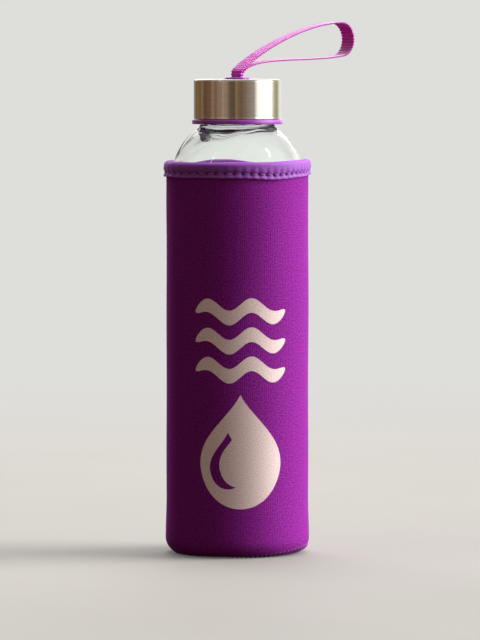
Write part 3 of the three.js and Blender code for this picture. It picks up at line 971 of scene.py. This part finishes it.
def makeBinding():
    s = sleeve
    low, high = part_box("sleeve_binding")
    outer = roundRadius("sleeve_binding")
    inner = roundRadius("sleeve_panel") - s["thickness"]
    stitch = s["stitchHeight"]
    leg = outer - 0.85 * mm
    rings = near(leg, low.z, (0, 0), (0.3, -0.25))
    rings += near(outer, low.z, (0, -0.35), (0.3, -0.2), (0.34, 0.15), (0.22, 0.6))
    # the stitches lie in a groove
    rings += near(outer, stitch, (-0.02, -0.75), (-0.22, -0.38), (-0.3, 0), (-0.22, 0.38), (0, 0.75),
                  (0.2, 1.25), (0.32, 1.9), (0.34, 2.7))
    rings += arcRings(outer - 1.9 * mm, high.z - 2.0 * mm, 2.2 * mm, 2.0 * mm, 4, 90, 9)
    rings += arcRings(inner + 1.1 * mm, high.z - 1.2 * mm, 1.1 * mm, 1.2 * mm, 90, 180, 6)
    # down the inside, and round the slot that the foam's edge sits in
    rings += [(inner, stitch + 1.5 * mm)] + near(inner, low.z, (0, 1.6), (0.2, 1.4))
    rings += near(s["pinched"], low.z, (-0.25, 1.4), (-0.08, 1.6))
    rings += near(s["pinched"], high.z, (-0.08, -1.3), (0.3, -0.75))
    rings += near(leg, high.z, (-0.35, -0.75), (0, -1.3)) + near(leg, low.z, (0, 1), (0, 0))
    piece = drawRings("sleeve_binding_tape", rings, s["stitches"] * 14, closed=True)
    co = places(piece)
    radius, angle = roundUp(co)
    pitch = 2 * math.pi * outer / s["stitches"]
    side = (needleShare(angle) % 1 - 0.5) * pitch       # from a needle hole, along the tape
    up = co[:, 2] - stitch
    face = radius > leg + 0.2 * mm
    hole = hump(side, 0.6 * mm) * hump(up, 0.42 * mm)
    puff = np.cos(2 * math.pi * side / pitch)
    shift = np.where(face, -0.7 * mm * hole, 0)
    # the holes' mask is kept for the tape's colour, which paints shade into them
    needleHoleShade = piece.data.attributes.new("needleHoleShade", "FLOAT", "POINT")
    needleHoleShade.data.foreach_set("value", np.where(face, np.clip(hole * 1.2, 0, 1), 0).astype(np.float32))
    lower = hump(up + 1.2 * mm, 0.8 * mm)
    upper = hump(up - 1.5 * mm, 1.1 * mm)
    shift -= np.where(face, (0.14 * lower + 0.13 * upper) * mm * puff, 0)
    shift += np.where(face & (up > 1 * mm), 0.07 * mm * np.sin(7 * angle + up / (1.5 * mm)), 0)
    hang = ramp(co[:, 2], stitch + 3.5 * mm, stitch)
    co[:, 2] += np.where(radius > leg - 0.1 * mm, tapeDip(angle) * hang, 0)
    climb = ramp(co[:, 2], stitch + 1.5 * mm, stitch + 4.5 * mm)
    co[:, 2] += tapeRise(angle) * climb
    pushOut(co, radius, shift)
    moveTo(piece, co)
    smooth(piece, 60)
    finishPiece(piece, lycraTape(), "sleeve", "binding_tape", "sleeve_binding")


def oneStitch(length, radius, sink):
    # a short thread along X whose ends dive down (-Y is outwards, so they dive to +Y)
    deselect()
    bpy.ops.mesh.primitive_cylinder_add(vertices=8, radius=radius, depth=length, end_fill_type="NGON",
                                        rotation=(0, math.pi / 2, 0))
    stitch = bpy.context.object
    bpy.ops.object.transform_apply(rotation=True)
    selectWhere(stitch, "EDGE", lambda edge: edgeSpan(stitch, edge)[0] > length / 2)
    bpy.ops.mesh.subdivide(number_cuts=9)
    bpy.ops.object.mode_set(mode="OBJECT")
    co = places(stitch)
    share = np.abs(co[:, 0]) / (length / 2)
    co[:, 1:] *= (1 - 0.35 * share ** 4)[:, None]
    co[:, 1] += sink * share ** 2.5
    moveTo(stitch, co)
    return stitch


def sewRow(name, node, thread, stitch, laid):
    # copies the stitch once for each set of places, each copy with its own mesh, and joins them
    copies = []
    for co in laid:
        mesh = stitch.data.copy()
        mesh.vertices.foreach_set("co", co.astype(np.float32).ravel())
        mesh.update()
        copies.append(bpy.data.objects.new(name, mesh))
        bpy.context.scene.collection.objects.link(copies[-1])
    bpy.data.objects.remove(stitch, do_unlink=True)
    piece = joinAll(name, copies)
    closeUp(piece)
    smooth(piece, 60)
    finishPiece(piece, thread, "sleeve", "thread", node)


def makeBindingStitches(thread):
    s = sleeve
    outer = roundRadius("sleeve_binding")
    stitch = oneStitch(1, s["threadRadius"], 0.75 * mm)    # one metre long, shrunk to fit below
    shape = places(stitch)
    turns = np.linspace(-1.1 * math.pi, 1.1 * math.pi, 2201)
    counts = needleShare(turns)
    first = math.ceil(needleShare(-math.pi))
    laid = []
    for i in range(first, first + s["stitches"]):
        # the thread ends just inside the needle holes, half a stitch to each side of the middle
        middle, left, right = np.interp([i, i - 0.4, i + 0.4], counts, turns)
        height = s["stitchHeight"] + shape[:, 2] + tapeDip(middle) * 0.95
        height += 0.2 * mm * math.sin(i * 2.4) * shape[:, 0]
        laid.append(layRound(outer - 0.08 * mm - shape[:, 1], middle + shape[:, 0] * (right - left), height))
    sewRow("binding_stitches", "binding_stitching", thread, stitch, laid)


def makeBaseStitches(thread):
    # overlocked edge: slanting bars of thread over the seam, which runs under the bottom corner
    # and wanders up round it on the right
    s = sleeve
    bottom = roundRadius("sleeve_panel") + s["bulge"]
    centre, lift = bottom - s["cornerR"], s["cornerZ"] + 0.15 * mm
    stitch = oneStitch(s["baseBarLength"], s["baseThreadRadius"], 0.5 * mm)
    shape = places(stitch)
    laid = []
    for middle in np.arange(s["baseBars"]) * (2 * math.pi / s["baseBars"]):
        wander = max(0, math.cos(middle - math.radians(s["baseBarSide"]))) ** 3
        bend = math.radians(s["baseBarTilt"] + s["baseBarWander"] * wander) + shape[:, 0] / s["cornerR"]
        outward = shape[:, 1] - 0.12 * mm           # the ends dive into the foam
        height = lift + (s["cornerZ"] - outward) * np.sin(bend)
        laid.append(layRound(centre + (s["cornerR"] - outward) * np.cos(bend),
                             middle + (shape[:, 2] + shape[:, 0] * 0.25) / centre,
                             np.maximum(height, 0.05 * mm)))
    sewRow("base_stitches", "base_stitching", thread, stitch, laid)


def makeSeamStitches(thread):
    # a zigzag of thread over the butt seam, down the back
    s = sleeve
    outer = roundRadius("sleeve_panel")
    low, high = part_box("side_seam_stitching")
    step = s["zigzagStep"]
    stitch = oneStitch(s["zigzagLength"], s["zigzagThreadRadius"], 0.35 * mm)
    shape = places(stitch)
    slope = math.atan2(step, s["zigzagWidth"])
    laid = []
    for i in range(int((high.z - low.z) / step)):
        turn = slope if i % 2 else -slope
        along = shape[:, 0] * math.cos(turn) - shape[:, 2] * math.sin(turn)
        height = low.z + step * (i + 0.5) + shape[:, 0] * math.sin(turn) + shape[:, 2] * math.cos(turn)
        laid.append(layRound(outer + 0.02 * mm - shape[:, 1], math.pi + along / outer, height))
    sewRow("side_seam_stitches", "side_seam_stitching", thread, stitch, laid)


# ---- Printed motif: a water drop under three waves ----

motif = {
    # each drop's middle across and up, its radius, and the height of its tip
    "drop": (1.5 * mm, 43 * mm, 19 * mm, 79 * mm),
    "gleam": (-4.5 * mm, 42 * mm, 8.5 * mm, 61 * mm),       # is cut out of the drop,
    "gleamFill": (0.5 * mm, 43.5 * mm, 9 * mm, 62 * mm),    # but for where this covers it
    "waveHeights": (91 * mm, 105 * mm, 119 * mm),
    "waveThickness": 7 * mm,
    "waveSwing": 3 * mm,
    "left": -20 * mm,
    "right": 23 * mm,
    "filmOut": 0.06 * mm,
}


def dropPrism(name, depth):
    # a filled circle whose top point is drawn up to a tip, as a solid along Y
    across, height, radius, tip = motif[name]
    deselect()
    bpy.ops.curve.primitive_bezier_circle_add(radius=radius, rotation=(math.pi / 2, 0, 0),
                                              location=(across, -30 * mm, height))
    curve = bpy.context.object
    curve.name = name
    data = curve.data
    data.dimensions = "2D"
    data.fill_mode = "BOTH"
    data.resolution_u = 24
    data.extrude = depth
    topPoint = max(data.splines[0].bezier_points, key=lambda p: p.co.y)
    topPoint.handle_left_type = topPoint.handle_right_type = "VECTOR"
    topPoint.co.y = tip - height
    pick(curve)
    bpy.ops.object.convert(target="MESH")
    settle(curve)
    closeUp(curve)
    return curve


def wavePrism(height):
    m = motif
    deselect()
    bpy.ops.mesh.primitive_cube_add(size=1, location=((m["left"] + m["right"]) / 2, -30 * mm, height))
    wave = bpy.context.object
    wave.scale = (m["right"] - m["left"], 30 * mm, m["waveThickness"])
    settle(wave)
    selectWhere(wave, "EDGE", lambda edge: edgeSpan(wave, edge)[0] > 1 * mm)
    bpy.ops.mesh.subdivide(number_cuts=63)
    bpy.ops.object.mode_set(mode="OBJECT")
    co = places(wave)
    share = (co[:, 0] - m["left"]) / (m["right"] - m["left"])
    taper = np.sqrt(np.clip(1 - (2 * share - 1) ** 6, 0.02, 1))
    co[:, 2] = height + (co[:, 2] - height) * taper + m["waveSwing"] * np.sin(4 * math.pi * share)
    moveTo(wave, co)
    return wave


def makeMotif(panel):
    m = motif
    # a thin skin off the sleeve's own front, which the shapes are cut from
    skin = panel.copy()
    skin.data = panel.data.copy()
    for key in list(skin.keys()):
        del skin[key]
    skin.parent = None
    bpy.context.scene.collection.objects.link(skin)
    skin.name = skin.data.name = "print_motif"
    outer = roundRadius("sleeve_panel")

    def unprinted(face):
        x, y, z = face.center
        front = y < -16 * mm and 14 * mm < z < 132 * mm
        return not (front and math.hypot(x, y) > outer - 0.8 * mm)

    selectWhere(skin, "FACE", unprinted)
    bpy.ops.mesh.delete(type="FACE")
    bpy.ops.object.mode_set(mode="OBJECT")
    applyModifier(skin, "SOLIDIFY", thickness=m["filmOut"] + 0.1 * mm, offset=0.4)
    shapes = [dropPrism("drop", 15 * mm)]
    hollow = dropPrism("gleam", 25 * mm)
    boolean(hollow, dropPrism("gleamFill", 40 * mm), "DIFFERENCE")
    boolean(shapes[0], hollow, "DIFFERENCE")
    shapes += [wavePrism(height) for height in m["waveHeights"]]
    cutter = joinAll("cutter", shapes)
    boolean(skin, cutter, "INTERSECT")
    smooth(skin, 30)
    finishPiece(skin, champagneInk(outer), "sleeve", None)


# ---- Stage: floor, light and surroundings ----

# how bright each part of the surroundings is, as light and as it is mirrored
room = {
    "walls": (0.9, 1.25),
    "ceiling": (0.15, 0.55),
    "window": (12.0, 2.8),
    "backdrop": "#DEDEDB",
}

# azimuth from the camera's side towards +X, distance, height, size, power, and whether the panel
# lights the object and whether it is mirrored in it
panelLights = {
    "smallWindow": (76, 2.0, 2.1, (0.22, 0.5), 3.0, True, True),
    "tallLamp": (-52, 2.4, 1.9, (0.06, 1.2), 1.3, True, True),
    "overhead": (165, 0.5, 2.2, (1.2, 1.2), 34, True, False),
    "overheadSheen": (165, 0.5, 2.2, (1.2, 1.2), 3.5, False, True),
    "backGlow": (180, 2.5, 1.5, (3.0, 1.6), 30, False, True),
    "leftRim": (-150, 2.5, 0.9, (0.7, 1.6), 18, True, False),
}


def addFloor():
    # The pale floor fades into the backdrop. What bounces light back up at the object is a
    # second, darker one just under it, so that the shaded side stays dark.
    deselect()
    bpy.ops.mesh.primitive_circle_add(vertices=96, radius=3, fill_type="NGON", location=(0, 0, 0))
    floor = bpy.context.object
    floor.name = "floor"
    material, tree, shader = newMaterial("pale table top")
    setShader(shader, Roughness=0.7, Specular_IOR_Level=0.2, Emission_Color=linear("#E4E2DE"),
              Emission_Strength=0.1)
    place = addNode(tree, "TexCoord").outputs["Object"]
    cloud = addNode(tree, "TexNoise", {"Scale": 4.0, "Detail": 3.0, "Vector": place})
    surfaceFrom(tree, shader, cloud, [(0.3, "#96938F"), (0.7, "#9B9894")])
    away = addNode(tree, "VectorMath", {0: place}, operation="LENGTH")
    far = addNode(tree, "MapRange", {"From Min": 0.25, "From Max": 1.4, "Value": away.outputs["Value"]},
                  interpolation_type="SMOOTHSTEP")
    backdrop = addNode(tree, "Emission", {"Color": linear(room["backdrop"])})
    faded = addNode(tree, "MixShader", {0: far, 1: shader, 2: backdrop})
    tree.links.new(faded.outputs[0], tree.nodes["Material Output"].inputs["Surface"])
    floor.data.materials.append(material)
    floor.visible_diffuse = floor.visible_glossy = False
    deselect()
    bpy.ops.mesh.primitive_plane_add(size=6, location=(0, 0, -0.2 * mm))
    under = bpy.context.object
    under.name = "floorUnder"
    material, tree, shader = newMaterial("dim table underlay")
    setShader(shader, Base_Color=linear("#6E5A48"), Roughness=0.8, Specular_IOR_Level=0.2)
    under.data.materials.append(material)
    under.visible_camera = under.visible_transmission = False


def addPanelLight(name, azimuth, distance, height, size, power, diffuse, gloss):
    # an area light turned to the cap
    deselect()
    turn = math.radians(azimuth)
    place = Vector((distance * math.sin(turn), -distance * math.cos(turn), height))
    bpy.ops.object.light_add(type="AREA", location=place)
    light = bpy.context.object
    light.name = light.data.name = name
    light.rotation_euler = (Vector((0, 0, 0.2)) - place).to_track_quat("-Z", "Y").to_euler()
    light.data.shape = "RECTANGLE"
    light.data.size, light.data.size_y = size
    light.data.energy = power
    light.visible_camera = False
    light.visible_diffuse, light.visible_glossy = diffuse, gloss
    light.visible_transmission = diffuse and gloss


def addWorld():
    # A dim warm room with a tall window on the right and a pale wall behind. The backdrop that the
    # camera and the glass look through to is pale all round.
    world = bpy.data.worlds.new("room")
    bpy.context.scene.world = world
    world.use_nodes = True
    tree = world.node_tree
    tree.nodes.clear()
    direction = addNode(tree, "TexCoord").outputs["Generated"]
    split, angle = axisAngle(tree, direction)
    turn = addNode(tree, "MapRange", {"From Min": -math.pi, "From Max": math.pi, "Value": angle})

    def at(degrees):
        return degrees / 360 + 0.5      # 0 is the camera's side, 90 is +X

    path = addNode(tree, "LightPath")
    inGloss = path.outputs["Is Glossy Ray"]
    power = {}
    for part in ("walls", "ceiling", "window"):
        asLight, mirrored = room[part]
        power[part] = addNode(tree, "MapRange", {"To Min": asLight, "To Max": mirrored,
                                                 "Value": inGloss}).outputs[0]
    walls = addNode(tree, "ValToRGB", {"Fac": turn})
    setRamp(walls, [(at(-180), "#E9E9E5"), (at(180), "#E9E9E5"), (at(-163), "#8F8C80"),
                    (at(-152), "#8C8778"), (at(-142), "#6A5A45"), (at(-128), "#8A6644"),
                    (at(-114), "#775A3E"), (at(-106), "#94826A"), (at(-100), "#6C503A"),
                    (at(-76), "#7A5B47"), (at(-66), "#A48C78"), (at(-60), "#7B624E"),
                    (at(-48), "#A58B76"), (at(-36), "#B49C8C"), (at(-27), "#A08672"),
                    (at(-19), "#6E5A48"), (at(-8), "#6B5844"), (at(-3), "#94825F"),
                    (at(3), "#8A7458"), (at(10), "#75604C"), (at(22), "#8E7A66"),
                    (at(30), "#B09F8D"), (at(36), "#A4978C"), (at(44), "#B4ACA4"),
                    (at(50), "#E4E0DC"), (at(110), "#E0E0D6"), (at(116), "#AEB08E"),
                    (at(134), "#B4B696"), (at(143), "#F4F4EE")])
    # narrow uneven stripes, as of shelves and door frames, which polished metal shows
    stripes = addNode(tree, "TexNoise", {"Scale": 70.0, "Detail": 2.0, "W": turn}, noise_dimensions="1D")
    uneven = addNode(tree, "MapRange", {"From Min": 0.25, "From Max": 0.75, "To Min": 0.68, "To Max": 1.32,
                                        "Value": stripes})
    wallGlow = addNode(tree, "Math", {0: power["walls"], 1: uneven}, operation="MULTIPLY")
    above = addNode(tree, "MapRange", {"From Min": 0.3, "From Max": 0.75, "Value": split.outputs["Z"]},
                    interpolation_type="SMOOTHSTEP")
    wallLight = addNode(tree, "Background", {"Color": walls, "Strength": wallGlow})
    ceilingLight = addNode(tree, "Background", {"Color": linear("#F2F1EE"), "Strength": power["ceiling"]})
    inside = addNode(tree, "MixShader", {0: above, 1: wallLight, 2: ceilingLight})
    # the window: soft-edged and strong as it lights the object, sharp and tame as metal mirrors it
    softWidth = [(at(59), 0.0), (at(118), 0.0), (at(72), 0.5), (at(85), 1.0), (at(112), 1.0)]
    softHeight = [(0.0, 0.0), (0.85, 0.0), (0.06, 1.0), (0.62, 1.0)]
    sharpWidth = [(at(48), 0.0), (at(110), 0.0), (at(56), 1.0), (at(103), 1.0)]
    sharpHeight = [(0.0, 0.0), (0.85, 0.0), (0.04, 1.0), (0.24, 1.0), (0.42, 0.25), (0.7, 0.2)]
    panes = []
    for widthStops, heightStops in ((softWidth, softHeight), (sharpWidth, sharpHeight)):
        across = addNode(tree, "ValToRGB", {"Fac": turn})
        setRamp(across, widthStops)
        upward = addNode(tree, "ValToRGB", {"Fac": split.outputs["Z"]})
        setRamp(upward, heightStops)
        panes.append(addNode(tree, "Math", {0: across, 1: upward}, operation="MULTIPLY").outputs[0])
    pane = addNode(tree, "Mix", {"Factor": inGloss, "A": panes[0], "B": panes[1]}, data_type="FLOAT")
    glow = addNode(tree, "Math", {0: pane, 1: power["window"]}, operation="MULTIPLY")
    windowLight = addNode(tree, "Background", {"Color": linear("#FFFDFB"), "Strength": glow})
    studio = addNode(tree, "AddShader", {0: inside, 1: windowLight})
    # what the glass bends into sight is brighter than the backdrop, most of all on the right
    behind = addNode(tree, "ValToRGB", {"Fac": turn})
    setRamp(behind, [(at(-180), "#F2F2EF"), (at(180), "#F5F5F3"), (at(-90), "#DAD7D1"),
                     (at(0), "#D0CCC4"), (at(90), "#FFFFFF")])
    clear = addNode(tree, "Background", {"Color": linear(room["backdrop"]), "Strength": 1.0})
    bent = addNode(tree, "Background", {"Strength": 1.0, "Color": behind})
    pale = addNode(tree, "MixShader", {0: path.outputs["Is Transmission Ray"], 1: clear, 2: bent})
    seen = addNode(tree, "Math", {0: path.outputs["Is Camera Ray"], 1: path.outputs["Is Transmission Ray"]},
                   operation="MAXIMUM")
    both = addNode(tree, "MixShader", {0: seen, 1: studio, 2: pale})
    addNode(tree, "OutputWorld", {"Surface": both})


# ---- Build everything ----

purplePlastic = mouldedPolypropylene()
makeBottle()
makeCover()
makeLiner(purplePlastic)
makeSeal()
makeGrommet(purplePlastic)
makeRibbon()
dressHiddenFastenings(purplePlastic)
jersey = neopreneJersey("neoprene jersey, purple", "#5A0B62", "#A42AAC", roundRadius("sleeve_panel"))
tapeThread = sewingThread("polyester thread, violet", "#8E3CA6", "#C66CD6")
seamThread = sewingThread("polyester thread, purple", "#86308E", "#B860C0")
panel = makePanel(jersey)
makeBase(jersey)
makeBinding()
makeBindingStitches(tapeThread)
makeBaseStitches(seamThread)
makeSeamStitches(seamThread)
makeMotif(panel)
print("pieces done")

addFloor()
addWorld()
for name, settings in panelLights.items():
    addPanelLight(name, *settings)
print("stage done")
bpy.context.scene.view_settings.view_transform = "Standard"
